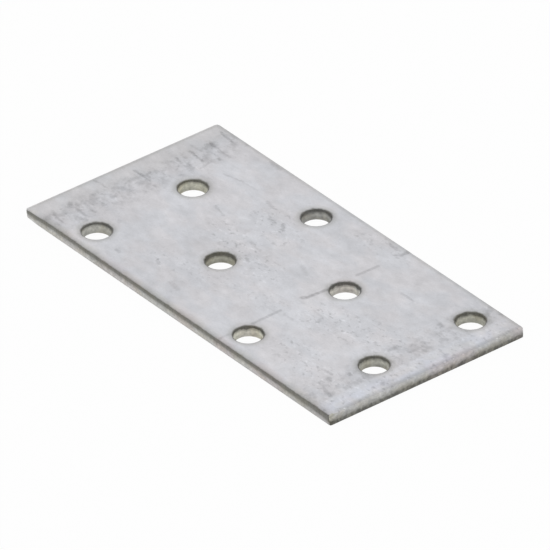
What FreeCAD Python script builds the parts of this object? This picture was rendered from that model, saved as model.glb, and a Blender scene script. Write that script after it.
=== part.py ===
import FreeCAD, Part
import math
import os

# A mending plate: one flat piece of galvanised steel strip, punched with a
# staggered pattern of nail holes and then sheared to length.
# Millimetres. +X runs along the plate, +Y across it and +Z up through it, and
# the origin is the middle of the bottom face.

# The flat blank.
length = 80.0
width = 40.0
thickness = 2.0

# The punched holes. They stand in columns across the plate, and every other
# place is left out, so that no two nails enter the timber along one grain line.
hole_diameter = 5.0
column_pitch = 20.0
row_pitch = 10.0

# The blank was cut out a little off the middle of the punched pattern.
pattern_shift_x = 2.9
pattern_shift_y = -0.3

# The least metal that is left between a hole and an edge of the plate.
least_wall = 1.5

# A blade or punch first draws the face over, then cuts a smooth upright land,
# and the rest of the thickness breaks away at a lean.
edge_rollover = 0.18
edge_land = 0.72
edge_lean = 0.11
hole_rollover = 0.15
hole_land = 0.52
hole_lean = 0.12

# How far a cutting shape stands past the face that it cuts.
cutter_spare = 1.0

plate_node = "mending_plate"


def quarter_arc(centre, radius, start_angle, place):
    """A quarter of a circle, which runs on anticlockwise from start_angle."""
    points = []
    for turn in (0.0, 45.0, 90.0):
        angle = math.radians(start_angle + turn)
        points.append(place(centre[0] + radius * math.cos(angle), centre[1] + radius * math.sin(angle)))
    return Part.Arc(points[0], points[1], points[2]).toShape()


def line(start, end, place):
    """A straight edge between two points of a section."""
    return Part.LineSegment(place(start[0], start[1]), place(end[0], end[1])).toShape()


def side_cut_from_top(reach, place):
    """The outer side of a section whose blade came down on the top face."""
    foot = (reach - edge_lean, 0.0)
    land_foot = (reach, thickness - edge_rollover - edge_land)
    land_head = (reach, thickness - edge_rollover)
    head = (reach - edge_rollover, thickness)
    corner = (reach - edge_rollover, thickness - edge_rollover)
    edges = [
        line(foot, land_foot, place),
        line(land_foot, land_head, place),
        quarter_arc(corner, edge_rollover, 0.0, place),
    ]
    return edges, foot, head


def side_cut_from_bottom(reach, place):
    """The outer side of a section whose blade came up on the bottom face."""
    foot = (reach - edge_rollover, 0.0)
    land_foot = (reach, edge_rollover)
    land_head = (reach, edge_rollover + edge_land)
    head = (reach - edge_lean, thickness)
    corner = (reach - edge_rollover, edge_rollover)
    edges = [
        quarter_arc(corner, edge_rollover, -90.0, place),
        line(land_foot, land_head, place),
        line(land_head, head, place),
    ]
    return edges, foot, head


def sheared_strip(half_size, right_side, left_side, place, run):
    """A strip with a sheared right and left side, which runs along one axis."""

    def mirrored(across, up):
        return place(-across, up)

    right_edges, right_foot, right_head = right_side(half_size, place)
    left_edges, left_foot, left_head = left_side(half_size, mirrored)
    top = line(right_head, (-left_head[0], left_head[1]), place)
    bottom = line((-left_foot[0], left_foot[1]), right_foot, place)
    outline = Part.Wire(Part.__sortEdges__(right_edges + [top] + left_edges + [bottom]))
    return Part.Face(outline).extrude(run)


def blank():
    """The plate before it is punched: where the strip and its two end cuts meet."""

    def across_section(across, up):
        return FreeCAD.Vector(-length, across, up)

    def along_section(along, up):
        return FreeCAD.Vector(along, -width, up)

    # The two long sides were slit from the top face.
    strip = sheared_strip(
        width / 2, side_cut_from_top, side_cut_from_top, across_section, FreeCAD.Vector(2 * length, 0, 0)
    )
    # The +X end was cut from below, and the -X end, cut in the stroke before it, from above.
    ends = sheared_strip(
        length / 2, side_cut_from_bottom, side_cut_from_top, along_section, FreeCAD.Vector(0, 2 * width, 0)
    )
    return strip.common(ends)


def hole_cutter(x, y):
    """The space that the punch leaves: a drawn-in mouth, a land and a wider break below."""

    def radial_section(radius, up):
        return FreeCAD.Vector(x + radius, y, up)

    land_radius = hole_diameter / 2
    mouth_radius = land_radius + hole_rollover
    break_radius = land_radius + hole_lean
    land_head_height = thickness - hole_rollover
    land_foot_height = land_head_height - hole_land
    above = thickness + cutter_spare
    below = -cutter_spare
    edges = [
        line((0.0, below), (break_radius, below), radial_section),
        line((break_radius, below), (break_radius, 0.0), radial_section),
        line((break_radius, 0.0), (land_radius, land_foot_height), radial_section),
        line((land_radius, land_foot_height), (land_radius, land_head_height), radial_section),
        quarter_arc((mouth_radius, land_head_height), hole_rollover, 90.0, radial_section),
        line((mouth_radius, thickness), (mouth_radius, above), radial_section),
        line((mouth_radius, above), (0.0, above), radial_section),
        line((0.0, above), (0.0, below), radial_section),
    ]
    profile = Part.Face(Part.Wire(Part.__sortEdges__(edges)))
    return profile.revolve(FreeCAD.Vector(x, y, 0), FreeCAD.Vector(0, 0, 1), 360.0)


def places_that_fit(size, pitch, shift):
    """The places along one axis where a hole leaves enough metal at both edges."""
    hole_reach = hole_diameter / 2 + hole_rollover
    room = size - 2 * (abs(shift) + hole_reach + least_wall)
    count = int(room // pitch) + 1
    first = shift - pitch * (count - 1) / 2
    return [first + pitch * step for step in range(count)]


def staggered_holes():
    """The cutters of every second place of the grid, like the dark squares of a chequerboard."""
    cutters = []
    for column, x in enumerate(places_that_fit(length, column_pitch, pattern_shift_x)):
        for row, y in enumerate(places_that_fit(width, row_pitch, pattern_shift_y)):
            if (column + row) % 2 == 0:
                cutters.append(hole_cutter(x, y))
    return cutters


def mending_plate():
    """The finished plate, as one solid."""
    return blank().cut(staggered_holes())


plate = mending_plate()
os.makedirs("parts", exist_ok=True)
plate.exportStep("parts/" + plate_node + ".step")
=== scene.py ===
import math

import bpy
from mathutils import Matrix, Vector


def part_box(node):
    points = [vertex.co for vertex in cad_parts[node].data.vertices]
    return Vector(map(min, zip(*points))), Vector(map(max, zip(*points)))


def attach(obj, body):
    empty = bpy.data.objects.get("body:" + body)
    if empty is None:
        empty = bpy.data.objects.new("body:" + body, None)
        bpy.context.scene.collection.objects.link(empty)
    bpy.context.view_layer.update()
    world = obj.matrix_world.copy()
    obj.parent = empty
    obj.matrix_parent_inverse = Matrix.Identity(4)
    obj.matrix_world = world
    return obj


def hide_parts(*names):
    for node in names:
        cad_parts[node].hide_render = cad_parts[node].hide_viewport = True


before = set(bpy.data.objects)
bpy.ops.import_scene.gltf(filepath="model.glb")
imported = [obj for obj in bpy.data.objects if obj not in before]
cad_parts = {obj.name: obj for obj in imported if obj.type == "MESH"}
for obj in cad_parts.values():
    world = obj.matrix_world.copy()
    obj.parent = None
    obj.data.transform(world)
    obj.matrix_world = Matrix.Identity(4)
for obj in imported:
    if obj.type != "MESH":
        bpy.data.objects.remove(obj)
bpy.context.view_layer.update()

# The plate.
# One piece of galvanised strip, 2 mm thick. A gang of punches made the
# staggered nail holes, and blades sheared the strip to its width and length.
mm = 0.001
plate_low, plate_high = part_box("mending_plate")
plate_length = plate_high.x - plate_low.x
plate_width = plate_high.y - plate_low.y
plate_thickness = plate_high.z - plate_low.z

hole_diameter = 5.0 * mm
column_pitch = 20.0 * mm
row_pitch = 10.0 * mm
columns = 4
rows = 4
pattern_shift = (2.9 * mm, -0.3 * mm, 0.0)

# Each cut has a rolled lip, then a clean land, then a torn part, and ends in a corner
# that tumbling has dulled.
edge_lip_width = 0.76 * mm
edge_lip_depth = 0.18 * mm
hole_lip_width = 0.61 * mm
hole_lip_depth = 0.23 * mm
lip_curl = 2.5

# How deep the land goes on the long sides and on the ends, and how unevenly it ends.
side_land_end = 0.80 * mm
end_land_end = 0.93 * mm
side_wander = 0.45 * mm
end_wander = 0.85 * mm
tear_blend = 0.03 * mm

# The long sides' land goes deeper in three places: towards the low corner of the +X end,
# at the tip of that corner, and at the -X end. Each reach runs along X.
low_corner_land = 0.28 * mm
low_corner_reach = (22.0 * mm, 39.0 * mm)
low_tip_land = 0.55 * mm
low_tip_reach = (38.2 * mm, 39.8 * mm)
far_tip_land = 0.14 * mm
far_tip_reach = (-33.0 * mm, -37.5 * mm)

# On the edges the torn part leans back into the metal. In the holes it leans out, so that
# they narrow towards the foot.
edge_lean = 0.05 * mm
hole_lean = -0.14 * mm
break_roughness = 0.03 * mm

# How far the corner at the foot of a cut is dulled. The +X end is dulled most, which sets in
# along Y past its low corner. The low side is worn more towards the -X end, along X.
other_dulled = 0.14 * mm
near_end_dulled = 0.36 * mm
near_end_reach = (-19.3 * mm, -16.5 * mm)
worn_tip_dulled = 0.30 * mm
worn_tip_reach = (-36.5 * mm, -39.5 * mm)
hole_dulled = 0.01 * mm

# How round the corners of the plate are: as cut, the high one of the -X end, where the
# metal tore, and the low one of the +X end, which has been knocked.
sharp_corner = 0.22 * mm
blunt_corner = 0.55 * mm
torn_corner = 0.30 * mm
knocked_corner = 0.38 * mm

# How yellow oil has left the edges, and how dark the ends' torn part is. Grease on the
# knocked corner adds to both, and gathers along Y.
edge_oil = 0.08
grease_oil = 0.32
end_shade = 0.25
grease_shade = 0.14
grease_reach = (-18.4 * mm, -19.6 * mm)

# Each punch of the gang is worn differently. From the first, at the low corner of the
# pattern: how deep its land goes and how unevenly that ends, both in millimetres, and how
# yellow and how dark the oil left the torn part.
punch_land_end = (0.47, 0.44, 0.72, 0.62, 0.54, 0.58, 0.54, 0.60)
punch_wander = (0.60, 0.50, 0.70, 0.60, 1.30, 1.10, 1.20, 1.50)
punch_oil = (0.16, 0.45, 0.45, 0.05, 0.36, 0.05, 0.28, 0.38)
punch_shade = (0.55, 0.38, 0.62, 0.74, 0.00, 0.00, 0.54, 0.52)

# The gang stands a little out of true: its lips are wider towards the high side of the -X end.
punch_tilt = (-0.36, 0.28, 0.0)

# How finely the cut walls are divided, along them and through the thickness, and how much
# the levels crowd at both faces.
edge_step = 0.5 * mm
hole_steps = 112
wall_levels = 34
crowding = 0.75

# The least length that counts.
hair = 0.001 * mm


def place(tree, kind, sockets=None, **settings):
    """Adds one node, gives it its settings, and sets or links its input sockets."""
    added = tree.nodes.new(kind)
    for name, value in settings.items():
        setattr(added, name, value)
    for key, value in (sockets or {}).items():
        if isinstance(value, bpy.types.NodeSocket):
            tree.links.new(value, added.inputs[key])
        else:
            added.inputs[key].default_value = value
    return added


def maths(tree, operation, *values, clamp=False):
    """One Math node, as the socket that it puts out."""
    sockets = dict(enumerate(values))
    return place(tree, "ShaderNodeMath", sockets, operation=operation, use_clamp=clamp).outputs[0]


def total(tree, first, second):
    """Two values added together."""
    return maths(tree, "ADD", first, second)


def less(tree, value, taken):
    """A value less what is taken from it."""
    return maths(tree, "SUBTRACT", value, taken)


def times_plus(tree, value, factor, added):
    """A value times a factor, with an amount added to that."""
    return maths(tree, "MULTIPLY_ADD", value, factor, added)


def product(tree, first, *others):
    """All the values multiplied together."""
    for other in others:
        first = maths(tree, "MULTIPLY", first, other)
    return first


def largest(tree, first, *others):
    """The largest of the values."""
    for other in others:
        first = maths(tree, "MAXIMUM", first, other)
    return first


def vectors(tree, operation, *values):
    """One Vector Math node, as the vector that it puts out."""
    return place(tree, "ShaderNodeVectorMath", dict(enumerate(values)), operation=operation).outputs[0]


def scaled(tree, vector, factor):
    """A vector times a number."""
    return place(tree, "ShaderNodeVectorMath", {0: vector, "Scale": factor}, operation="SCALE").outputs[0]


def dotted(tree, first, second):
    """The dot product of two vectors."""
    node = place(tree, "ShaderNodeVectorMath", {0: first, 1: second}, operation="DOT_PRODUCT")
    return node.outputs["Value"]


def axes(tree, vector):
    """The X, Y and Z of a vector."""
    return place(tree, "ShaderNodeSeparateXYZ", {0: vector}).outputs


def soft_step(tree, value, low, high):
    """Nothing at low, everything at high, and a smooth slope between."""
    sockets = {"Value": value, "From Min": low, "From Max": high}
    return place(tree, "ShaderNodeMapRange", sockets, interpolation_type="SMOOTHSTEP").outputs["Result"]


def noise(tree, at, stretch, detail=2.0, roughness=0.5, start=(0.0, 0.0, 0.0)):
    """Smooth noise about 0.5, with stretch waves to a unit along each axis."""
    sockets = {
        "Vector": vectors(tree, "MULTIPLY_ADD", at, stretch, start),
        "Scale": 1.0,
        "Detail": detail,
        "Roughness": roughness,
    }
    return place(tree, "ShaderNodeTexNoise", sockets).outputs[0]


def floats(*names):
    """Named sockets that are all plain numbers."""
    return dict.fromkeys(names, "Float")


def new_group(name, kind, inputs, outputs):
    """An empty node group with named sockets: the group, what it is given and its output node."""
    group = bpy.data.node_groups.new(name, kind)
    for socket_name, socket_kind in inputs.items():
        group.interface.new_socket(socket_name, in_out="INPUT", socket_type="NodeSocket" + socket_kind)
    for socket_name, socket_kind in outputs.items():
        group.interface.new_socket(socket_name, in_out="OUTPUT", socket_type="NodeSocket" + socket_kind)
    return group, group.nodes.new("NodeGroupInput").outputs, group.nodes.new("NodeGroupOutput").inputs


def place_group(tree, group, sockets):
    """Places a node group in a tree and sets or links its sockets. Returns its outputs."""
    kind = {"GeometryNodeTree": "GeometryNodeGroup", "ShaderNodeTree": "ShaderNodeGroup"}[tree.bl_idname]
    return place(tree, kind, sockets, node_tree=group).outputs


def crowded_levels_group():
    """Spreads even levels from 0 to 1 so that they crowd at both faces, where the lips are."""
    tree, given, result = new_group("Crowded levels", "GeometryNodeTree", floats("Even"), floats("Crowded"))
    wave = maths(tree, "COSINE", product(tree, given["Even"], math.pi))
    eased = times_plus(tree, wave, -0.5, 0.5)
    still_even = product(tree, given["Even"], 1.0 - crowding)
    tree.links.new(total(tree, product(tree, eased, crowding), still_even), result["Crowded"])
    return tree


def sheared_wall_group():
    """How far a cut wall stands back from its land, at a depth below the face that was struck."""
    inputs = floats("Depth", "Land End", "Wander", "Lean", "Dulled", "Thickness", "Lip Width", "Lip Depth")
    outputs = floats("Set Back", "Land End")
    tree, given, result = new_group("Sheared wall", "GeometryNodeTree", inputs, outputs)
    position = place(tree, "GeometryNodeInputPosition").outputs[0]
    # The clean cut gives way at an uneven depth.
    waver = noise(tree, position, (0.9 / mm, 0.9 / mm, 0.0), detail=3.0, roughness=0.55)
    uneven = product(tree, less(tree, waver, 0.5), given["Wander"])
    land_end = total(tree, given["Land End"], uneven)
    past_land = less(tree, given["Depth"], land_end)
    torn = soft_step(tree, past_land, -tear_blend, tear_blend)
    # The lip curls over where the blade pressed the face down. It is drawn from a little
    # above the face, where the punches start.
    head_start = 0.05
    lip_left = place(tree, "ShaderNodeMapRange", {
        "Value": given["Depth"],
        "From Min": product(tree, given["Lip Depth"], -head_start),
        "From Max": given["Lip Depth"],
        "To Min": 1.0 + head_start,
        "To Max": 0.0,
    }).outputs["Result"]
    lip = product(tree, maths(tree, "POWER", lip_left, lip_curl), given["Lip Width"])
    # The torn part leans from the land on, and is rough.
    below_land = less(tree, given["Thickness"], land_end)
    share = maths(tree, "DIVIDE", past_land, below_land, clamp=True)
    grit = noise(tree, position, (2.6 / mm, 2.6 / mm, 2.6 / mm))
    rough = product(tree, grit, torn, break_roughness)
    lean = total(tree, product(tree, share, given["Lean"]), rough)
    # The corner on the far side from the blade is dulled.
    left = less(tree, given["Thickness"], given["Depth"])
    dulled = soft_step(tree, left, given["Dulled"], product(tree, given["Dulled"], -0.5))
    dull = product(tree, maths(tree, "POWER", dulled, 2.0), given["Dulled"])
    tree.links.new(total(tree, total(tree, lip, lean), dull), result["Set Back"])
    tree.links.new(land_end, result["Land End"])
    return tree


def stored(tree, geometry, name, value):
    """The geometry with a value stored on its face corners."""
    sockets = {"Geometry": geometry, "Name": name, "Value": value}
    node = place(tree, "GeometryNodeStoreNamedAttribute", sockets, data_type="FLOAT", domain="CORNER")
    return node.outputs[0]


def on_faces(tree, value):
    """A value as the mean of each face's corners."""
    node = place(tree, "GeometryNodeFieldOnDomain", {"Value": value}, domain="FACE", data_type="FLOAT")
    return node.outputs[0]


def blank_group(levels, wall):
    """The strip, sheared on all four sides and not yet punched."""
    inputs = floats("Length", "Width", "Thickness")
    tree, given, result = new_group("Sheared blank", "GeometryNodeTree", inputs, {"Mesh": "Geometry"})
    lengths = {"X": given["Length"], "Y": given["Width"], "Z": given["Thickness"]}
    size = place(tree, "ShaderNodeCombineXYZ", lengths)
    block = place(tree, "GeometryNodeMeshCube", {
        "Size": size.outputs[0],
        "Vertices X": round(plate_length / edge_step) + 1,
        "Vertices Y": round(plate_width / edge_step) + 1,
        "Vertices Z": wall_levels + 1,
    })
    at = axes(tree, place(tree, "GeometryNodeInputPosition").outputs[0])
    near_end = maths(tree, "GREATER_THAN", at["X"], 0.0)
    far_end = less(tree, 1.0, near_end)
    low_side = maths(tree, "LESS_THAN", at["Y"], 0.0)
    high_side = maths(tree, "GREATER_THAN", at["Y"], 0.0)
    even = total(tree, maths(tree, "DIVIDE", at["Z"], given["Thickness"]), 0.5)
    crowded = place_group(tree, levels, {"Even": even})["Crowded"]
    height = product(tree, crowded, given["Thickness"])
    below_top = less(tree, given["Thickness"], height)
    # The +X end was sheared from below, and the other three sides from above.
    end_depth = times_plus(tree, near_end, less(tree, height, below_top), below_top)
    cut_sizes = {
        "Lean": edge_lean,
        "Thickness": given["Thickness"],
        "Lip Width": edge_lip_width,
        "Lip Depth": edge_lip_depth,
    }
    # The +X end is dulled most, but not at its low corner.
    most_dulled = product(tree, near_end, soft_step(tree, at["Y"], *near_end_reach))
    end_wall = place_group(tree, wall, {
        **cut_sizes,
        "Depth": end_depth,
        "Land End": end_land_end,
        "Wander": end_wander,
        "Dulled": times_plus(tree, most_dulled, near_end_dulled - other_dulled, other_dulled),
    })
    # The low side's land goes deeper towards the +X end, and nearly through at its tip.
    to_low_corner = product(tree, soft_step(tree, at["X"], *low_corner_reach), low_side)
    to_low_tip = product(tree, soft_step(tree, at["X"], *low_tip_reach), low_side)
    to_far_tip = soft_step(tree, at["X"], *far_tip_reach)
    side_land = times_plus(tree, to_low_corner, low_corner_land, side_land_end)
    side_land = times_plus(tree, to_low_tip, low_tip_land, side_land)
    side_land = times_plus(tree, to_far_tip, far_tip_land, side_land)
    to_worn_tip = product(tree, soft_step(tree, at["X"], *worn_tip_reach), low_side)
    side_wall = place_group(tree, wall, {
        **cut_sizes,
        "Depth": below_top,
        "Land End": side_land,
        "Wander": side_wander,
        "Dulled": times_plus(tree, to_worn_tip, worn_tip_dulled, other_dulled),
    })

    # Corners stay sharp on the side that the end blade struck, and crumble where the metal
    # tore. The one at the low side of the +X end has been knocked.
    crumbled = soft_step(tree, end_depth, 0.5 * end_land_end, given["Thickness"])
    at_knocked = product(tree, near_end, low_side)
    worst = times_plus(tree, at_knocked, knocked_corner - torn_corner, torn_corner - sharp_corner)
    # The high corner of the -X end is blunt right through.
    at_blunt = product(tree, far_end, high_side)
    least = times_plus(tree, at_blunt, blunt_corner - sharp_corner, sharp_corner)
    corner_radius = times_plus(tree, crumbled, worst, least)

    def on_border(coordinate, full_size):
        """The places of the block that lie on a wall."""
        border = times_plus(tree, full_size, 0.5, -hair)
        return maths(tree, "GREATER_THAN", maths(tree, "ABSOLUTE", coordinate), border)

    def on_wall_faces(border):
        """Only the faces of a wall have all their corners on its border."""
        nearly_whole = 0.99
        return maths(tree, "GREATER_THAN", on_faces(tree, border), nearly_whole)

    def past_corner_start(coordinate, border, full_size):
        """Where a corner starts to round, and how far past that each place lies.

        The inner rows are moved up to that start.
        """
        half = product(tree, full_size, 0.5)
        start = less(tree, half, corner_radius)
        inner = maths(tree, "DIVIDE", start, less(tree, half, edge_step))
        spread = times_plus(tree, border, less(tree, 1.0, inner), inner)
        moved = product(tree, maths(tree, "ABSOLUTE", coordinate), spread)
        return start, less(tree, moved, start)

    def drawn_in(coordinate, start, past, rounded, full_size, set_back):
        """The place on one axis after its corner is rounded and its level is drawn in by the set back."""
        placed = total(tree, start, product(tree, past, rounded))
        half = product(tree, full_size, 0.5)
        shrunk = less(tree, 1.0, maths(tree, "DIVIDE", set_back, half))
        return product(tree, placed, maths(tree, "SIGN", coordinate), shrunk)

    end_border = on_border(at["X"], given["Length"])
    side_border = on_border(at["Y"], given["Width"])
    start_x, past_x = past_corner_start(at["X"], end_border, given["Length"])
    start_y, past_y = past_corner_start(at["Y"], side_border, given["Width"])
    # Past the start of both sides of a corner, squares are drawn in to circles.
    in_corner = maths(tree, "GREATER_THAN", maths(tree, "MINIMUM", past_x, past_y), hair)
    squares = total(tree, maths(tree, "POWER", past_x, 2.0), maths(tree, "POWER", past_y, 2.0))
    round_reach = maths(tree, "SQRT", squares)
    square_reach = largest(tree, past_x, past_y)
    to_circle = less(tree, maths(tree, "DIVIDE", square_reach, round_reach), 1.0)
    rounded = times_plus(tree, in_corner, to_circle, 1.0)
    new_place = place(tree, "ShaderNodeCombineXYZ", {
        "X": drawn_in(at["X"], start_x, past_x, rounded, given["Length"], end_wall["Set Back"]),
        "Y": drawn_in(at["Y"], start_y, past_y, rounded, given["Width"], side_wall["Set Back"]),
        "Z": height,
    })

    end_faces = on_wall_faces(end_border)
    side_faces = on_wall_faces(side_border)
    wall_faces = largest(tree, end_faces, side_faces)
    # A corner at the +X end tore with the end, so the side's last faces there count as the end's.
    last_face = maths(tree, "GREATER_THAN", on_faces(tree, at["X"]), 0.5 * plate_length - 0.6 * edge_step)
    last_of_side = product(tree, last_face, side_faces)
    of_end = largest(tree, end_faces, last_of_side)
    of_side = less(tree, wall_faces, of_end)

    def either(end_value, side_value):
        """In millimetres, the end's value on its faces, the side's on its own, and none on the flat ones."""
        on_end = product(tree, of_end, end_value)
        on_side = product(tree, of_side, side_value)
        return maths(tree, "DIVIDE", total(tree, on_end, on_side), mm)

    # Grease has gathered on the knocked corner.
    greasy = product(tree, soft_step(tree, at["Y"], *grease_reach), of_end, near_end)
    shade = times_plus(tree, greasy, grease_shade, product(tree, of_end, end_shade))
    # The sides stand open to the light. The knocked corner is counted as hidden, so that it takes
    # the painted shade of the holes.
    hidden = largest(tree, product(tree, last_of_side, at_knocked), greasy)
    mesh = stored(tree, block.outputs["Mesh"], "cut_depth", either(end_depth, below_top))
    mesh = stored(tree, mesh, "land_end", either(end_wall["Land End"], side_wall["Land End"]))
    mesh = stored(tree, mesh, "oil", times_plus(tree, greasy, grease_oil, edge_oil))
    mesh = stored(tree, mesh, "shade", shade)
    mesh = stored(tree, mesh, "open_side", less(tree, wall_faces, hidden))
    sockets = {"Geometry": mesh, "Position": new_place.outputs[0]}
    mesh = place(tree, "GeometryNodeSetPosition", sockets).outputs[0]
    tree.links.new(mesh, result["Mesh"])
    return tree


def punches_group(levels, wall):
    """The spaces that the gang of punches leaves: one at every second place of the grid."""
    inputs = floats("Thickness", "Hole Diameter", "Column Pitch", "Row Pitch")
    inputs.update({"Columns": "Int", "Rows": "Int", "Shift": "Vector"})
    tree, given, result = new_group("Staggered punches", "GeometryNodeTree", inputs, {"Mesh": "Geometry"})
    grid = place(tree, "GeometryNodeMeshGrid", {
        "Size X": product(tree, less(tree, given["Columns"], 1.0), given["Column Pitch"]),
        "Size Y": product(tree, less(tree, given["Rows"], 1.0), given["Row Pitch"]),
        "Vertices X": given["Columns"],
        "Vertices Y": given["Rows"],
    })
    sockets = {"Geometry": grid.outputs["Mesh"], "Offset": given["Shift"]}
    spots = place(tree, "GeometryNodeSetPosition", sockets)
    index = place(tree, "GeometryNodeInputIndex").outputs[0]
    column = maths(tree, "FLOOR", maths(tree, "DIVIDE", total(tree, index, 0.5), given["Rows"]))
    row = less(tree, index, product(tree, column, given["Rows"]))
    odd = maths(tree, "MODULO", total(tree, column, row), 2.0)
    number = maths(tree, "FLOOR", product(tree, index, 0.5))

    def of_this_punch(values):
        """Picks this punch's own value."""
        switch = place(tree, "GeometryNodeIndexSwitch", data_type="FLOAT")
        while len(switch.index_switch_items) < len(values):
            switch.index_switch_items.new()
        tree.links.new(number, switch.inputs["Index"])
        for item, value in enumerate(values):
            switch.inputs[item + 1].default_value = value
        return switch.outputs[0]

    worn = place(tree, "GeometryNodeCaptureAttribute", {"Geometry": spots.outputs[0]}, domain="POINT")
    wear = {"Land End": punch_land_end, "Wander": punch_wander, "Oil": punch_oil, "Shade": punch_shade}
    for name, values in wear.items():
        worn.capture_items.new("FLOAT", name)
        tree.links.new(of_this_punch(values), worn.inputs[name])
    # One level more above the plate and one more below it, so that the tool stands clear of both faces.
    tool_levels = wall_levels + 2
    tool = place(tree, "GeometryNodeMeshCylinder", {
        "Vertices": hole_steps,
        "Side Segments": tool_levels,
        "Radius": product(tree, given["Hole Diameter"], 0.5),
        "Depth": given["Thickness"],
    }, fill_type="NGON")
    position = place(tree, "GeometryNodeInputPosition").outputs[0]
    kept = place(tree, "GeometryNodeCaptureAttribute", {"Geometry": tool.outputs["Mesh"]}, domain="POINT")
    kept.capture_items.new("VECTOR", "Outward")
    flat_position = vectors(tree, "MULTIPLY", position, (1.0, 1.0, 0.0))
    tree.links.new(vectors(tree, "NORMALIZE", flat_position), kept.inputs["Outward"])
    outward = kept.outputs["Outward"]
    punches = place(tree, "GeometryNodeInstanceOnPoints", {
        "Points": worn.outputs["Geometry"],
        "Selection": maths(tree, "LESS_THAN", odd, 0.5),
        "Instance": kept.outputs["Geometry"],
    })
    mesh = place(tree, "GeometryNodeRealizeInstances", {"Geometry": punches.outputs[0]}).outputs[0]

    at = axes(tree, position)
    height_share = maths(tree, "DIVIDE", at["Z"], given["Thickness"])
    level = times_plus(tree, height_share, tool_levels, 0.5 * tool_levels)
    even = maths(tree, "DIVIDE", less(tree, level, 1.0), wall_levels, clamp=True)
    crowded = place_group(tree, levels, {"Even": even})["Crowded"]
    # The wall starts just outside both faces, and the tool ends well past them.
    skin = 0.008 * mm
    past_wall = 0.5 * mm
    in_wall = times_plus(tree, crowded, total(tree, given["Thickness"], 2 * skin), -skin)
    above = product(tree, maths(tree, "GREATER_THAN", level, tool_levels - 0.5), past_wall)
    under = product(tree, maths(tree, "LESS_THAN", level, 0.5), past_wall)
    height = less(tree, total(tree, in_wall, above), under)
    depth = less(tree, given["Thickness"], height)
    tilt = dotted(tree, outward, punch_tilt)
    section = place_group(tree, wall, {
        "Depth": depth,
        "Land End": product(tree, worn.outputs["Land End"], mm),
        "Wander": product(tree, worn.outputs["Wander"], mm),
        "Lean": hole_lean,
        "Dulled": hole_dulled,
        "Thickness": given["Thickness"],
        "Lip Width": times_plus(tree, tilt, hole_lip_width, hole_lip_width),
        "Lip Depth": hole_lip_depth,
    })
    raised = place(tree, "ShaderNodeCombineXYZ", {"Z": less(tree, height, at["Z"])})
    offset = vectors(tree, "ADD", scaled(tree, outward, section["Set Back"]), raised.outputs[0])
    mesh = stored(tree, mesh, "cut_depth", maths(tree, "DIVIDE", depth, mm))
    mesh = stored(tree, mesh, "land_end", maths(tree, "DIVIDE", section["Land End"], mm))
    mesh = stored(tree, mesh, "oil", worn.outputs["Oil"])
    mesh = stored(tree, mesh, "shade", worn.outputs["Shade"])
    mesh = place(tree, "GeometryNodeSetPosition", {"Geometry": mesh, "Offset": offset}).outputs[0]
    tree.links.new(mesh, result["Mesh"])
    return tree


def punched_plate_tree():
    """The whole plate: the sheared blank, less the punches."""
    inputs = floats("Length", "Width", "Thickness", "Hole Diameter", "Column Pitch", "Row Pitch")
    inputs.update({"Columns": "Int", "Rows": "Int", "Shift": "Vector", "Finish": "Material"})
    tree, given, result = new_group("Punched plate", "GeometryNodeTree", inputs, {"Geometry": "Geometry"})
    tree.is_modifier = True
    levels = crowded_levels_group()
    wall = sheared_wall_group()
    blank_names = ("Length", "Width", "Thickness")
    blank = place_group(tree, blank_group(levels, wall), {name: given[name] for name in blank_names})
    hole_names = ("Thickness", "Hole Diameter", "Column Pitch", "Row Pitch", "Columns", "Rows", "Shift")
    punches = place_group(tree, punches_group(levels, wall), {name: given[name] for name in hole_names})
    sockets = {"Mesh 1": blank["Mesh"], "Mesh 2": punches["Mesh"]}
    cut = place(tree, "GeometryNodeMeshBoolean", sockets, operation="DIFFERENCE", solver="MANIFOLD")
    sockets = {"Geometry": cut.outputs["Mesh"], "Distance": 0.5 * hair}
    merged = place(tree, "GeometryNodeMergeByDistance", sockets)
    # The two flat faces and every crease stay crisp, and the walls and lips shade smoothly.
    straight_up = 0.9995
    normal = place(tree, "GeometryNodeInputNormal").outputs[0]
    curved = maths(tree, "LESS_THAN", maths(tree, "ABSOLUTE", axes(tree, normal)["Z"]), straight_up)
    crease = math.radians(40.0)
    fold = place(tree, "GeometryNodeInputMeshEdgeAngle").outputs["Unsigned Angle"]
    unfolded = maths(tree, "LESS_THAN", fold, crease)
    shaded = merged
    for domain, smooth in (("FACE", curved), ("EDGE", unfolded)):
        sockets = {"Geometry": shaded.outputs[0], "Shade Smooth": smooth}
        shaded = place(tree, "GeometryNodeSetShadeSmooth", sockets, domain=domain)
    whole = place(tree, "GeometryNodeRealizeInstances", {"Geometry": shaded.outputs[0]})
    sockets = {"Geometry": whole.outputs[0], "Material": given["Finish"]}
    finished = place(tree, "GeometryNodeSetMaterial", sockets)
    tree.links.new(finished.outputs[0], result["Geometry"])
    return tree


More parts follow.
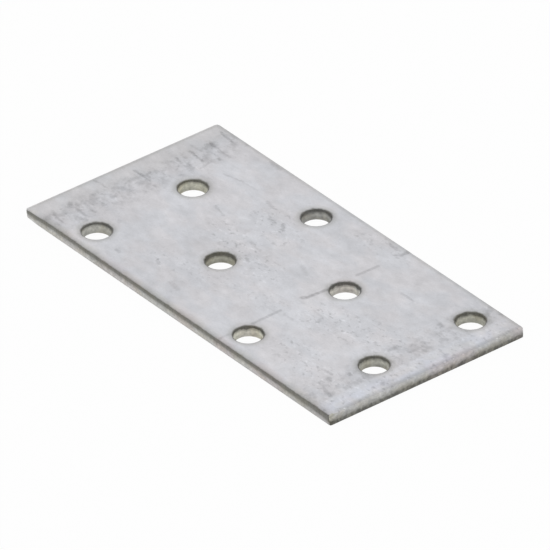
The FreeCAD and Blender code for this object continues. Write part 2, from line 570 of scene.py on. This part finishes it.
# What the face has been through in the bin, in millimetres from the middle of the plate:
# where each mark starts and ends, half its width, and how strong it is.
scribed_line = (
    ((10.8, 19.8), (10.7, 18.2), 0.60, 0.80),
    ((10.7, 18.2), (10.1, 17.4), 0.50, 0.60),
    ((10.8, 13.3), (10.7, 9.0), 0.50, 0.62),
    ((10.9, 3.0), (10.6, -1.3), 0.54, 0.85),
    ((10.5, -1.5), (10.2, -1.9), 0.70, 0.95),
    ((10.8, -7.0), (10.9, -12.8), 0.46, 0.62),
    ((10.9, -17.8), (10.9, -19.6), 0.42, 0.40),
)
end_dashes = (
    ((-37.4, 18.6), (-33.9, 18.3), 0.40, 0.75),
    ((-35.4, 15.3), (-34.7, 15.2), 0.56, 0.85),
    ((-34.7, 15.1), (-30.4, 15.1), 0.34, 0.45),
    ((-35.4, 13.6), (-31.5, 13.7), 0.30, 0.35),
    ((-31.3, 13.4), (-30.8, 13.4), 0.48, 0.80),
    ((-37.4, 12.4), (-35.0, 12.6), 0.34, 0.35),
    ((-36.2, 11.2), (-32.3, 10.9), 0.40, 0.70),
    ((-31.4, 11.9), (-30.9, 9.5), 0.40, 0.35),
    ((-35.9, 8.1), (-34.3, 7.9), 0.50, 0.60),
    ((-33.4, 8.6), (-32.5, 8.4), 0.46, 0.60),
    ((-37.4, 0.6), (-33.4, 0.6), 0.44, 0.80),
    ((-35.5, 2.2), (-35.0, 1.3), 0.44, 0.50),
    ((-34.4, 1.0), (-32.3, -0.5), 0.90, 0.45),
    ((-31.8, 0.3), (-31.4, 0.3), 0.50, 0.55),
    ((-35.6, -0.6), (-35.3, -3.0), 0.56, 0.45),
    ((-34.5, -2.8), (-32.7, -3.5), 0.46, 0.40),
    ((-39.4, -6.4), (-36.5, -6.1), 0.34, 0.50),
    ((-33.5, -6.3), (-33.2, -7.3), 0.64, 0.35),
    ((-35.8, -9.2), (-34.1, -10.7), 0.95, 0.45),
    ((-33.0, -9.5), (-32.5, -9.8), 0.50, 0.50),
    ((-34.4, -11.8), (-31.8, -12.2), 0.50, 0.30),
    ((-36.4, -13.6), (-35.4, -14.2), 0.75, 0.60),
    ((-35.0, -13.8), (-32.4, -13.8), 0.46, 0.40),
    ((-31.6, -15.1), (-30.7, -14.7), 0.60, 0.50),
    ((-36.2, -17.3), (-35.1, -17.7), 0.50, 0.45),
    ((-34.5, -17.9), (-32.7, -18.0), 0.46, 0.65),
)
bin_marks = (
    ((-24.7, 19.3), (-22.4, 19.3), 0.70, 0.45),
    ((-27.1, 11.2), (-23.0, 12.1), 0.30, 0.45),
    ((-23.0, 12.1), (-19.6, 12.3), 0.26, 0.30),
    ((-29.1, 7.9), (-27.0, 8.7), 0.40, 0.30),
    ((-20.4, 4.2), (-17.3, 3.3), 0.36, 0.50),
    ((-27.1, -10.6), (-26.7, -10.8), 0.56, 0.30),
    ((-20.7, -16.2), (-19.7, -16.4), 0.46, 0.55),
    ((-15.9, 11.6), (-14.1, 10.9), 0.54, 0.40),
    ((-11.6, 8.5), (-10.0, 8.3), 0.46, 0.45),
    ((-8.9, 9.2), (-7.4, 8.0), 0.52, 0.70),
    ((-8.1, 1.9), (-5.9, 1.5), 0.46, 0.45),
    ((-4.8, -1.7), (-3.8, -2.1), 0.42, 0.60),
    ((-2.8, -1.4), (-0.7, -0.8), 0.50, 0.35),
    ((-14.1, -12.9), (-12.9, -13.5), 0.42, 0.65),
    ((-7.2, -15.6), (-4.8, -15.8), 0.70, 0.42),
    ((6.9, 18.8), (9.0, 18.7), 0.52, 0.60),
    ((4.0, 17.3), (5.3, 16.3), 0.40, 0.35),
    ((2.8, 3.8), (5.5, 2.7), 0.60, 0.30),
    ((19.4, 11.2), (22.6, 11.1), 0.40, 0.45),
    ((14.2, -2.9), (16.4, -3.0), 0.46, 0.35),
    ((16.6, -3.1), (17.4, -4.3), 0.50, 0.40),
    ((12.1, -7.2), (14.2, -7.3), 0.44, 0.35),
    ((30.5, 10.2), (31.3, 10.0), 0.75, 0.70),
    ((32.3, 3.0), (35.2, 3.4), 0.48, 0.55),
    ((34.1, 3.1), (33.6, 1.4), 0.60, 0.60),
    ((31.1, 0.4), (31.3, -0.7), 0.75, 0.55),
    ((32.2, 19.4), (33.0, 18.5), 0.70, 0.45),
    ((38.1, 5.5), (38.4, 5.0), 0.60, 0.60),
    ((38.0, -7.6), (38.5, -7.9), 0.60, 0.60),
    ((32.2, -9.9), (32.8, -10.2), 0.48, 0.70),
    ((31.3, -13.3), (32.0, -13.6), 0.66, 0.55),
    ((28.3, -12.5), (30.7, -12.2), 0.46, 0.40),
    ((33.0, -15.8), (35.5, -16.4), 0.56, 0.50),
)
# Wide patches where the face is scuffed more than elsewhere.
scuffed_patches = (
    ((-12.0, 9.0), (-6.0, 7.0), 5.0, 1.0),
    ((-14.0, 0.5), (1.0, -2.0), 4.5, 1.0),
    ((16.0, -3.5), (29.0, 0.5), 6.0, 1.0),
    ((20.0, -12.5), (31.0, -14.5), 5.0, 0.9),
    ((-14.0, -12.0), (9.0, -7.0), 4.0, 0.5),
    ((3.0, 17.5), (12.0, 19.0), 4.0, 0.6),
)
# Where oil has dried rosy along the low side and the +X end, and in two of the holes.
rosy_stretches = (
    ((-29.0, -20.4), (-27.0, -20.4), 2.4, 0.4),
    ((-19.0, -20.4), (-11.5, -20.4), 2.6, 0.55),
    ((0.5, -20.4), (3.5, -20.4), 2.4, 0.6),
    ((11.5, -20.4), (13.5, -20.4), 2.6, 1.0),
    ((21.0, -20.4), (26.0, -20.4), 2.6, 0.9),
    ((36.5, -20.4), (38.5, -20.4), 2.4, 0.5),
    ((40.4, 2.0), (40.4, 8.5), 2.8, 1.0),
    ((40.4, 18.8), (40.4, 20.0), 2.0, 0.8),
    ((10.4, -14.6), (11.6, -13.2), 1.3, 0.5),
    ((10.4, 5.4), (11.6, 6.8), 1.3, 0.5),
)


def worn_mark_group():
    """One scratch or rubbed spot: full strength on and near its line, and nothing at half its width away."""
    inputs = {"At": "Vector", "Start": "Vector", "End": "Vector", "Half Width": "Float", "Strength": "Float"}
    tree, given, result = new_group("Worn mark", "ShaderNodeTree", inputs, {"Mask": "Float"})
    from_start = vectors(tree, "SUBTRACT", given["At"], given["Start"])
    run = vectors(tree, "SUBTRACT", given["End"], given["Start"])
    # The nearest place on the line, kept between its two ends.
    share = maths(tree, "DIVIDE", dotted(tree, from_start, run), dotted(tree, run, run))
    share = largest(tree, maths(tree, "MINIMUM", share, 1.0), 0.0)
    aside = vectors(tree, "SUBTRACT", from_start, scaled(tree, run, share))
    away = place(tree, "ShaderNodeVectorMath", {0: aside}, operation="LENGTH").outputs["Value"]
    full_within = 0.2
    mask = soft_step(tree, away, given["Half Width"], product(tree, given["Half Width"], full_within))
    tree.links.new(product(tree, mask, given["Strength"]), result["Mask"])
    return tree


def near_hole_group():
    """How far a place is from the middle of the nearest punched hole, in millimetres."""
    tree, given, result = new_group("Near a hole", "ShaderNodeTree", {"At": "Vector"}, {"Distance": "Float"})
    at = axes(tree, given["At"])
    pitch_x = column_pitch / mm
    pitch_y = row_pitch / mm
    first_x = (pattern_shift[0] - column_pitch * (columns - 1) / 2) / mm
    first_y = (pattern_shift[1] - row_pitch * (rows - 1) / 2) / mm
    distances = []
    for step in (0, 1):
        # Every second place of the grid is one of two plain grids of twice the pitch.
        aside = []
        for value, first, pitch in ((at["X"], first_x, pitch_x), (at["Y"], first_y, pitch_y)):
            turns = times_plus(tree, value, 0.5 / pitch, -(first + step * pitch) * 0.5 / pitch)
            nearest = less(tree, turns, maths(tree, "ROUND", turns))
            aside.append(product(tree, nearest, 2 * pitch))
        squares = [maths(tree, "POWER", maths(tree, "ABSOLUTE", length), 2.0) for length in aside]
        distances.append(maths(tree, "SQRT", total(tree, *squares)))
    tree.links.new(maths(tree, "MINIMUM", *distances), result["Distance"])
    return tree


def galvanised_sheet():
    """Zinc-coated sheet on the faces and lips, burnished steel on the lands and torn steel below them."""
    material = bpy.data.materials.new("galvanised_sheet")
    material.use_nodes = True
    tree = material.node_tree
    shader = tree.nodes["Principled BSDF"]

    def stored_value(name):
        """What the mesh says of each of its corners, under this name."""
        return place(tree, "ShaderNodeAttribute", attribute_name=name).outputs["Fac"]

    def shaded_by(value, spread):
        """A factor about 1 that follows a noise about 0.5."""
        return times_plus(tree, value, 2 * spread, 1.0 - spread)

    def changed_by(share, amount):
        """A factor of 1 where the share is nothing, and of 1 and the amount where it is everything."""
        return times_plus(tree, share, amount, 1.0)

    def swing(value):
        """A noise about 0.5, made to swing about nothing."""
        return times_plus(tree, value, 2.0, -1.0)

    def between(value, rise, fall):
        """Everything between a rise and a fall, which each run from nothing to all."""
        return product(tree, soft_step(tree, value, *rise), soft_step(tree, value, *fall))

    def mixed(share, first, second):
        """The first value, and the second where the share is everything."""
        return place(tree, "ShaderNodeMix", {"Factor": share, 2: first, 3: second}).outputs[0]

    def blended(share, first, second):
        """The first colour, and the second where the share is everything."""
        sockets = {"Factor": share, 6: first, 7: second}
        return place(tree, "ShaderNodeMix", sockets, data_type="RGBA").outputs[2]

    def dimmed(colour, factor):
        """A colour times a factor, or times another colour."""
        sockets = {"Factor": 1.0, 6: colour, 7: factor}
        return place(tree, "ShaderNodeMix", sockets, data_type="RGBA", blend_type="MULTIPLY").outputs[2]

    position = place(tree, "ShaderNodeTexCoord").outputs["Object"]
    at = scaled(tree, position, 1 / mm)
    place_xyz = axes(tree, at)
    x, y, z = place_xyz["X"], place_xyz["Y"], place_xyz["Z"]
    half_length = 0.5 * plate_length / mm
    half_width = 0.5 * plate_width / mm
    full_depth = plate_thickness / mm

    # The zinc has a faint cloudiness, drawn out along the strip as it was rolled, and a fine grain.
    cloud = noise(tree, at, (0.10, 0.14, 0.1))
    blotch = noise(tree, at, (0.34, 0.46, 0.5), start=(2.0, 7.0, 1.0))
    rolled = noise(tree, at, (0.50, 0.80, 1.0), detail=4.0, roughness=0.60, start=(7.0, 3.0, 0.0))
    fleck = noise(tree, at, (0.85, 1.20, 1.0), detail=4.0, roughness=0.65, start=(1.0, 9.0, 4.0))
    grain = noise(tree, at, (3.0, 4.0, 4.0), detail=3.0, roughness=0.65)
    pale = noise(tree, at, (1.0, 1.5, 1.0), detail=3.0, start=(5.0, 2.0, 8.0))

    # Scratches and rubbed spots, with ragged sides and broken up along their length.
    worn_mark = worn_mark_group()

    def marked(marks, where, so_far):
        """The strongest of a row of marks at each place, and of what was there so far."""
        for start, end, mark_half_width, strength in marks:
            mark = place_group(tree, worn_mark, {
                "At": where,
                "Start": (*start, 0.0),
                "End": (*end, 0.0),
                "Half Width": mark_half_width,
                "Strength": strength,
            })
            so_far = largest(tree, so_far, mark["Mask"])
        return so_far

    ragged = place(tree, "ShaderNodeTexNoise", {"Vector": at, "Scale": 1.6, "Detail": 3.0, "Roughness": 0.6})
    wobble = vectors(tree, "MULTIPLY_ADD", ragged.outputs["Color"], (1.0, 1.0, 0.0), (-0.5, -0.5, 0.0))
    flat_at = vectors(tree, "MULTIPLY", at, (1.0, 1.0, 0.0))
    marked_at = vectors(tree, "ADD", flat_at, wobble)
    scribed = marked(scribed_line, vectors(tree, "MULTIPLY_ADD", wobble, (0.3, 0.3, 0.0), flat_at), 0.0)
    marks = marked(end_dashes + bin_marks, marked_at, scribed)
    # The scratches and the spots are on the top face only.
    on_top = maths(tree, "GREATER_THAN", z, 0.5 * full_depth)
    scribed = product(tree, scribed, on_top)
    marks = product(tree, marks, on_top)
    scuffed = marked(scuffed_patches, marked_at, 0.0)
    patchy = shaded_by(noise(tree, at, (1.3, 1.9, 1.0), start=(2.0, 2.0, 6.0)), 1.0)
    marks = product(tree, marks, patchy)

    # The ends were handled and rubbed most, each in a band across the plate.
    left_band = between(x, (-37.4, -35.6), (-28.5, -33.0))
    right_band = between(x, (28.0, 33.5), (36.2, 35.5))
    bands = total(tree, left_band, right_band)
    smear = noise(tree, at, (0.50, 0.56, 1.0), detail=5.0, roughness=0.62, start=(6.0, 2.0, 1.0))
    smeared = product(tree, bands, soft_step(tree, smear, 0.45, 0.66))
    past_band = soft_step(tree, x, 35.6, 36.4)
    grubby_end = soft_step(tree, x, -33.5, -37.0)
    band_wear = times_plus(tree, bands, 0.50, product(tree, past_band, 0.90))
    handled = largest(tree, scuffed, band_wear)
    handled = times_plus(tree, handled, 0.82, 0.18)
    dark_fleck = product(tree, soft_step(tree, fleck, 0.53, 0.68), handled)
    pale_fleck = product(tree, soft_step(tree, pale, 0.54, 0.70), handled)

    # How far in from each side a place lies.
    in_from_low_side = total(tree, half_width, y)
    in_from_high_side = less(tree, half_width, y)
    in_from_far_end = total(tree, half_length, x)
    in_from_cut_end = less(tree, half_length, x)
    in_from_end = less(tree, half_length, maths(tree, "ABSOLUTE", x))
    in_from_side = less(tree, half_width, maths(tree, "ABSOLUTE", y))
    # The face is darker along its sheared edges and round the holes, more along the low long side,
    # and most at the +X end: partly dulled and stained, partly painted shade where it rolls down into
    # the lips. The low side is clean at its -X tip.
    near_edge = soft_step(tree, maths(tree, "MINIMUM", in_from_end, in_from_side), 1.4, 0.1)
    past_tip = soft_step(tree, x, -38.5, -34.0)
    near_low_side = product(tree, soft_step(tree, in_from_low_side, 1.7, 0.0), past_tip)
    # Painted shade along the crease of the +X end, fading out before its low corner.
    cut_end_crease_shade = between(in_from_cut_end, (0.06, 0.28), (1.4, 0.4))
    cut_end_crease_shade = product(tree, cut_end_crease_shade, soft_step(tree, y, -19.6, -17.0))
    # Painted shade where the face turns down into the low side's lip: darker still.
    low_lip_shade = product(tree, soft_step(tree, in_from_low_side, 1.0, 0.2), past_tip)
    # Round the holes the face is stained and carries painted shade in a wide halo, with more painted shade
    # right at their lips.
    from_hole = place_group(tree, near_hole_group(), {"At": at})["Distance"]
    near_hole = soft_step(tree, from_hole, 4.1, 2.9)
    hole_lip_shade = soft_step(tree, from_hole, 3.6, 3.0)
    dulled = largest(tree, product(tree, near_edge, 1.5), product(tree, near_hole, 1.6))
    dulled = largest(tree, dulled, product(tree, near_low_side, 3.0))
    stained = product(tree, dulled, 0.33)
    # The corner at that tip is hardly darkened at all.
    at_tip = less(tree, 1.0, past_tip)
    clean_tip = product(tree, at_tip, soft_step(tree, y, -17.0, -18.5))
    dulled = product(tree, dulled, changed_by(clean_tip, -0.9))
    dulled = largest(tree, dulled, product(tree, cut_end_crease_shade, 3.6))
    # Painted highlights: bright specks on the burr along the end's crease.
    at_crease = between(in_from_cut_end, (0.0, 0.15), (0.50, 0.35))
    speck = noise(tree, at, (1.4, 1.4, 0.0), start=(1.0, 6.0, 2.0))
    painted_glint = product(tree, at_crease, soft_step(tree, speck, 0.60, 0.70))
    # A wide strip along the high side is a little dull.
    near_high_side = soft_step(tree, in_from_high_side, 4.0, 1.0)
    dulled = largest(tree, dulled, product(tree, near_high_side, 0.45))
    # A painted highlight on the lip of the -X end, where it catches the light.
    far_lip_highlight = soft_step(tree, in_from_far_end, 0.45, 0.15)
    # Beside the +X end and the low side old oil has left faint patches, yellowish and bluish.
    beside_low_side = soft_step(tree, in_from_low_side, 2.2, 0.8)
    beside_end = soft_step(tree, in_from_cut_end, 4.2, 2.2)
    beside_cut = largest(tree, beside_end, product(tree, beside_low_side, 0.6))
    patch = noise(tree, at, (0.34, 0.34, 0.3), detail=3.0, start=(3.0, 5.0, 7.0))
    patch_tint = noise(tree, at, (0.22, 0.22, 0.3), start=(1.0, 4.0, 9.0))

    cool_zinc = (0.555, 0.560, 0.589, 1.0)
    warm_zinc = (0.571, 0.563, 0.583, 1.0)
    hue = noise(tree, at, (0.15, 0.22, 0.1), detail=3.0, start=(9.0, 1.0, 2.0))
    zinc = blended(soft_step(tree, hue, 0.38, 0.62), cool_zinc, warm_zinc)
    # The dulled rims and the -X end are a little yellower, and the +X end past its band bluer.
    zinc = blended(stained, zinc, dimmed(zinc, (1.0, 0.995, 0.94, 1.0)))
    zinc = blended(grubby_end, zinc, dimmed(zinc, (1.0, 0.998, 0.985, 1.0)))
    zinc = blended(past_band, zinc, dimmed(zinc, (0.99, 1.0, 1.01, 1.0)))
    yellowish = (1.01, 0.996, 0.975, 1.0)
    bluish = (0.985, 0.996, 1.025, 1.0)
    tinted = blended(soft_step(tree, patch_tint, 0.40, 0.60), yellowish, bluish)
    zinc = blended(beside_cut, zinc, dimmed(zinc, tinted))
    tone = product(
        tree,
        shaded_by(cloud, 0.14),
        shaded_by(blotch, 0.13),
        shaded_by(rolled, 0.15),
        shaded_by(grain, 0.12),
        changed_by(dark_fleck, -0.28),
        changed_by(pale_fleck, 0.12),
        changed_by(bands, -0.05),
        changed_by(grubby_end, -0.06),
        changed_by(smeared, -0.20),
        # Partly dulling, partly painted shade where the face rolls down into the lips.
        changed_by(dulled, -0.07),
        changed_by(marks, -0.26),
        # Painted highlights on the crease and on the -X end's lip, and painted shade on the lips of the
        # holes and the low side.
        changed_by(painted_glint, 0.50),
        changed_by(hole_lip_shade, -0.08),
        changed_by(far_lip_highlight, 0.25),
        changed_by(low_lip_shade, -0.11),
        changed_by(swing(patch), product(tree, beside_cut, 0.13)),
    )
    zinc = dimmed(zinc, tone)

    # Below the lip the cut is bare steel: a burnished land, painted dark as a painted reflection of dim
    # surroundings, then the light torn part.
    depth = stored_value("cut_depth")
    land_end = stored_value("land_end")
    oil = stored_value("oil")
    open_side = stored_value("open_side")
    jag = noise(tree, at, (2.6, 2.6, 0.8), detail=3.0, roughness=0.6)
    jagged = times_plus(tree, jag, 0.24, -0.12)
    past_land = total(tree, less(tree, depth, land_end), jagged)
    blur = times_plus(tree, open_side, 0.14, 0.06)
    torn_share = soft_step(tree, past_land, product(tree, blur, -1.0), blur)
    # On the two far sides the zinc was drawn farther over the lip.
    past_far_side = soft_step(tree, y, half_width - 1.0, half_width - 0.8)
    past_far_end = soft_step(tree, x, 0.8 - half_length, 0.7 - half_length)
    drawn_over = product(tree, largest(tree, past_far_side, past_far_end), 0.12)
    # On every side that stands open it came a little way over, and farther at the -X tip.
    over_open_side = product(tree, open_side, times_plus(tree, past_tip, -0.095, 0.11))
    drawn_over = total(tree, drawn_over, over_open_side)
    ragged_zinc = times_plus(tree, noise(tree, at, (1.3, 1.3, 1.3), detail=3.0), -0.10, 0.05)
    bare_depth = total(tree, less(tree, depth, drawn_over), ragged_zinc)
    steel_share = soft_step(tree, bare_depth, 0.03, 0.13)
    drag = noise(tree, at, (5.0, 5.0, 0.5), detail=3.0, roughness=0.6, start=(4.0, 4.0, 4.0))
    # In the holes and on the knocked corner the land is painted darker still, as shade.
    painted_dark_land = blended(open_side, (0.123, 0.121, 0.114, 1.0), (0.173, 0.170, 0.154, 1.0))
    uneven_land = noise(tree, at, (0.6, 0.6, 0.6), detail=4.0, roughness=0.62, start=(8.0, 2.0, 5.0))
    # Slow changes along the cut, as the blade wore and the oil dried.
    film = noise(tree, at, (0.09, 0.09, 0.1), start=(2.0, 8.0, 4.0))
    land = dimmed(painted_dark_land, product(tree, shaded_by(drag, 0.55), shaded_by(uneven_land, 0.40)))
    land = dimmed(land, shaded_by(film, 0.16))
    # The end's land has bright nicks in darker metal.
    at_cut_end = soft_step(tree, in_from_cut_end, 0.8, 0.5)
    nick = noise(tree, at, (1.5, 1.5, 1.2), start=(7.0, 7.0, 1.0))
    nicked = product(tree, soft_step(tree, nick, 0.36, 0.64), 0.46)
    nicked = product(tree, less(tree, nicked, 0.30), at_cut_end)
    land = dimmed(land, total(tree, nicked, 1.0))
    # The land is darkest just under the lip, and lighter deeper down.
    sunk = maths(tree, "DIVIDE", depth, largest(tree, land_end, 0.1))
    land = dimmed(land, times_plus(tree, sunk, 0.33, 0.90))
    pit = noise(tree, at, (1.3, 1.3, 1.7), detail=4.0, roughness=0.62, start=(6.0, 1.0, 3.0))
    light_steel = (0.755, 0.745, 0.718, 1.0)
    dark_steel = (0.40, 0.395, 0.372, 1.0)
    grey_steel = blended(stored_value("shade"), light_steel, dark_steel)
    clear_depth = times_plus(tree, open_side, 0.60, 0.50)
    clearing = times_plus(tree, soft_step(tree, past_land, 0.0, clear_depth), 0.40, 0.60)
    pitting = times_plus(tree, at_cut_end, 0.10, 0.55)
    pits = changed_by(swing(pit), pitting)
    stain = noise(tree, at, (0.35, 0.35, 0.6), start=(5.0, 8.0, 3.0))
    pitted = dimmed(grey_steel, product(tree, pits, clearing))
    # Painted shade: in the holes the foot of the torn part is darkened, as it lies in the dark.
    foot = product(tree, soft_step(tree, depth, 1.0, 1.8), less(tree, 1.0, open_side))
    pitted = dimmed(pitted, changed_by(foot, -0.20))
    pitted = dimmed(pitted, product(tree, shaded_by(stain, 0.16), shaded_by(film, 0.16)))
    steel = blended(torn_share, land, pitted)
    warm_stain = (1.01, 0.997, 0.965, 1.0)
    cool_stain = (0.99, 1.002, 1.02, 1.0)
    steel = dimmed(steel, blended(soft_step(tree, stain, 0.42, 0.58), warm_stain, cool_stain))
    yellow_oil = (1.0, 0.985, 0.76, 1.0)
    steel = blended(oil, steel, dimmed(steel, yellow_oil))
    # Zinc is smeared over the far corner of the open sides, and the torn part is a little lighter towards
    # that corner.
    far_corner = soft_step(tree, depth, full_depth - 0.9, full_depth)
    smeared_over = product(tree, open_side, torn_share, product(tree, far_corner, 0.65))
    steel = blended(smeared_over, steel, zinc)
    lighter_corner = product(tree, open_side, soft_step(tree, depth, 1.45, 1.80))
    steel = dimmed(steel, changed_by(lighter_corner, 0.03))
    finish = blended(steel_share, zinc, steel)
    # In a few stretches of the cuts, and in two of the holes, the oil has dried rosy.
    rosy = marked(rosy_stretches, flat_at, 0.0)
    rosy_oil = (1.022, 0.978, 1.005, 1.0)
    finish = blended(rosy, finish, dimmed(finish, rosy_oil))
    tree.links.new(finish, shader.inputs["Base Color"])

    # Zinc is soft and satin. The land is a little glossier, and the torn part is matt.
    satin = total(tree, shaded_by(rolled, 0.20), product(tree, marks, 0.25))
    zinc_roughness = product(tree, satin, 0.46)
    steel_roughness = times_plus(tree, torn_share, 0.25, 0.40)
    tree.links.new(mixed(steel_share, zinc_roughness, steel_roughness), shader.inputs["Roughness"])
    metal_zinc = 0.60
    metal_steel = times_plus(tree, torn_share, 0.10, 0.80)
    tree.links.new(mixed(steel_share, metal_zinc, metal_steel), shader.inputs["Metallic"])

    # Relief: the grain and the marks on the zinc, drag lines on the land, and grit on the torn part.
    relief_height = 0.02 * mm
    zinc_relief = less(tree, total(tree, product(tree, grain, 0.35), rolled), scribed)
    steel_relief = mixed(torn_share, drag, product(tree, pit, 2.0))
    relief = mixed(steel_share, zinc_relief, steel_relief)
    bump = place(tree, "ShaderNodeBump", {"Strength": 1.0, "Distance": relief_height, "Height": relief})
    tree.links.new(bump.outputs[0], shader.inputs["Normal"])
    return material


def built_mesh(name, tree, values):
    """Runs a geometry tree with the given inputs and returns what it makes as a plain mesh object."""
    maker = bpy.data.objects.new(name + "_maker", bpy.data.meshes.new(name + "_maker"))
    bpy.context.scene.collection.objects.link(maker)
    modifier = maker.modifiers.new("Geometry", "NODES")
    modifier.node_group = tree
    for item in tree.interface.items_tree:
        if item.name in values:
            modifier[item.identifier] = values[item.name]
    graph = bpy.context.evaluated_depsgraph_get()
    evaluated = maker.evaluated_get(graph)
    mesh = bpy.data.meshes.new_from_object(evaluated, preserve_all_data_layers=True, depsgraph=graph)
    mesh.name = name
    made = bpy.data.objects.new(name, mesh)
    bpy.context.scene.collection.objects.link(made)
    bpy.data.objects.remove(maker)
    return made


plate = built_mesh("plate", punched_plate_tree(), {
    "Length": plate_length,
    "Width": plate_width,
    "Thickness": plate_thickness,
    "Hole Diameter": hole_diameter,
    "Column Pitch": column_pitch,
    "Row Pitch": row_pitch,
    "Columns": columns,
    "Rows": rows,
    "Shift": pattern_shift,
    "Finish": galvanised_sheet(),
})
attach(plate, "root")
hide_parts("mending_plate")

# The table.
# A plain white sheet of card under the plate. It shows as the white of the
# background, and keeps a trace of the plate's soft shadow.
table_size = 6.0
table_gap = 0.02 * mm
card_white = (0.95, 0.95, 0.95, 1.0)
card_glow = 0.97


def seen_share(tree):
    """Everything for what the camera sees, also mirrored or through glass, and nothing for other light."""
    paths = place(tree, "ShaderNodeLightPath").outputs
    return largest(tree, paths["Is Camera Ray"], paths["Is Glossy Ray"], paths["Is Transmission Ray"])


def white_card():
    """A white diffuse card that the camera and reflections see nearly as bright as the sky."""
    material = bpy.data.materials.new("white_card")
    material.use_nodes = True
    tree = material.node_tree
    tree.nodes.clear()
    card = place(tree, "ShaderNodeBsdfDiffuse", {"Color": card_white}).outputs[0]
    glow = place(tree, "ShaderNodeEmission", {"Color": (1.0, 1.0, 1.0, 1.0), "Strength": 1.0}).outputs[0]
    glowing = product(tree, seen_share(tree), card_glow)
    surface = place(tree, "ShaderNodeMixShader", {"Fac": glowing, 1: card, 2: glow}).outputs[0]
    place(tree, "ShaderNodeOutputMaterial", {"Surface": surface})
    return material


card_mesh = bpy.data.meshes.new("table_card")
half = table_size / 2
corners = [(-half, -half), (half, -half), (half, half), (-half, half)]
card_mesh.from_pydata([(x, y, -table_gap) for x, y in corners], [], [(0, 1, 2, 3)])
card_mesh.materials.append(white_card())
table = bpy.data.objects.new("table_card", card_mesh)
bpy.context.scene.collection.objects.link(table)

# The light.
# An even white studio all round, and one wide soft lamp above the plate and
# behind it.
ambient = 0.60
lamp_size = 0.6
lamp_energy = 1.0
lamp_place = Vector((-0.45, 0.35, 0.8))

world = bpy.data.worlds.new("white_studio")
world.use_nodes = True
bpy.context.scene.world = world
sky = world.node_tree
sky.nodes.clear()
sky_strength = times_plus(sky, seen_share(sky), 1.0 - ambient, ambient)
sky_glow = place(sky, "ShaderNodeBackground", {"Color": (1.0, 1.0, 1.0, 1.0), "Strength": sky_strength})
place(sky, "ShaderNodeOutputWorld", {"Surface": sky_glow.outputs[0]})

lamp_data = bpy.data.lights.new("soft_lamp", "AREA")
lamp_data.shape = "DISK"
lamp_data.size = lamp_size
lamp_data.energy = lamp_energy
lamp = bpy.data.objects.new("soft_lamp", lamp_data)
lamp.location = lamp_place
lamp.rotation_euler = (-lamp_place).to_track_quat("-Z", "Y").to_euler()
bpy.context.scene.collection.objects.link(lamp)

# The camera.
# A long lens from well back, turned a little about its own axis, as the
# corners and hole rims of the real plate show.
camera_turn = math.radians(52.298)
camera_lift = math.radians(33.301)
camera_roll = math.radians(-1.314)
camera_distance = 2.11106
camera_lens = 848.58
camera_film = 36.0
sight_shift = (0.307 * mm, 0.385 * mm)

back = Vector((
    math.sin(camera_turn) * math.cos(camera_lift),
    -math.cos(camera_turn) * math.cos(camera_lift),
    math.sin(camera_lift),
))
level_right = Vector((math.cos(camera_turn), math.sin(camera_turn), 0.0))
level_up = back.cross(level_right)
right = level_right * math.cos(camera_roll) + level_up * math.sin(camera_roll)
up = level_up * math.cos(camera_roll) - level_right * math.sin(camera_roll)
camera_data = bpy.data.cameras.new("camera")
camera_data.lens = camera_lens
camera_data.sensor_width = camera_film
camera = bpy.data.objects.new("camera", camera_data)
turned = Matrix((right, up, back)).transposed()
stand = back * camera_distance + right * sight_shift[0] + up * sight_shift[1]
camera.matrix_world = Matrix.Translation(stand) @ turned.to_4x4()
bpy.context.scene.collection.objects.link(camera)
bpy.context.scene.camera = camera

bpy.context.scene.view_settings.view_transform = "Standard"
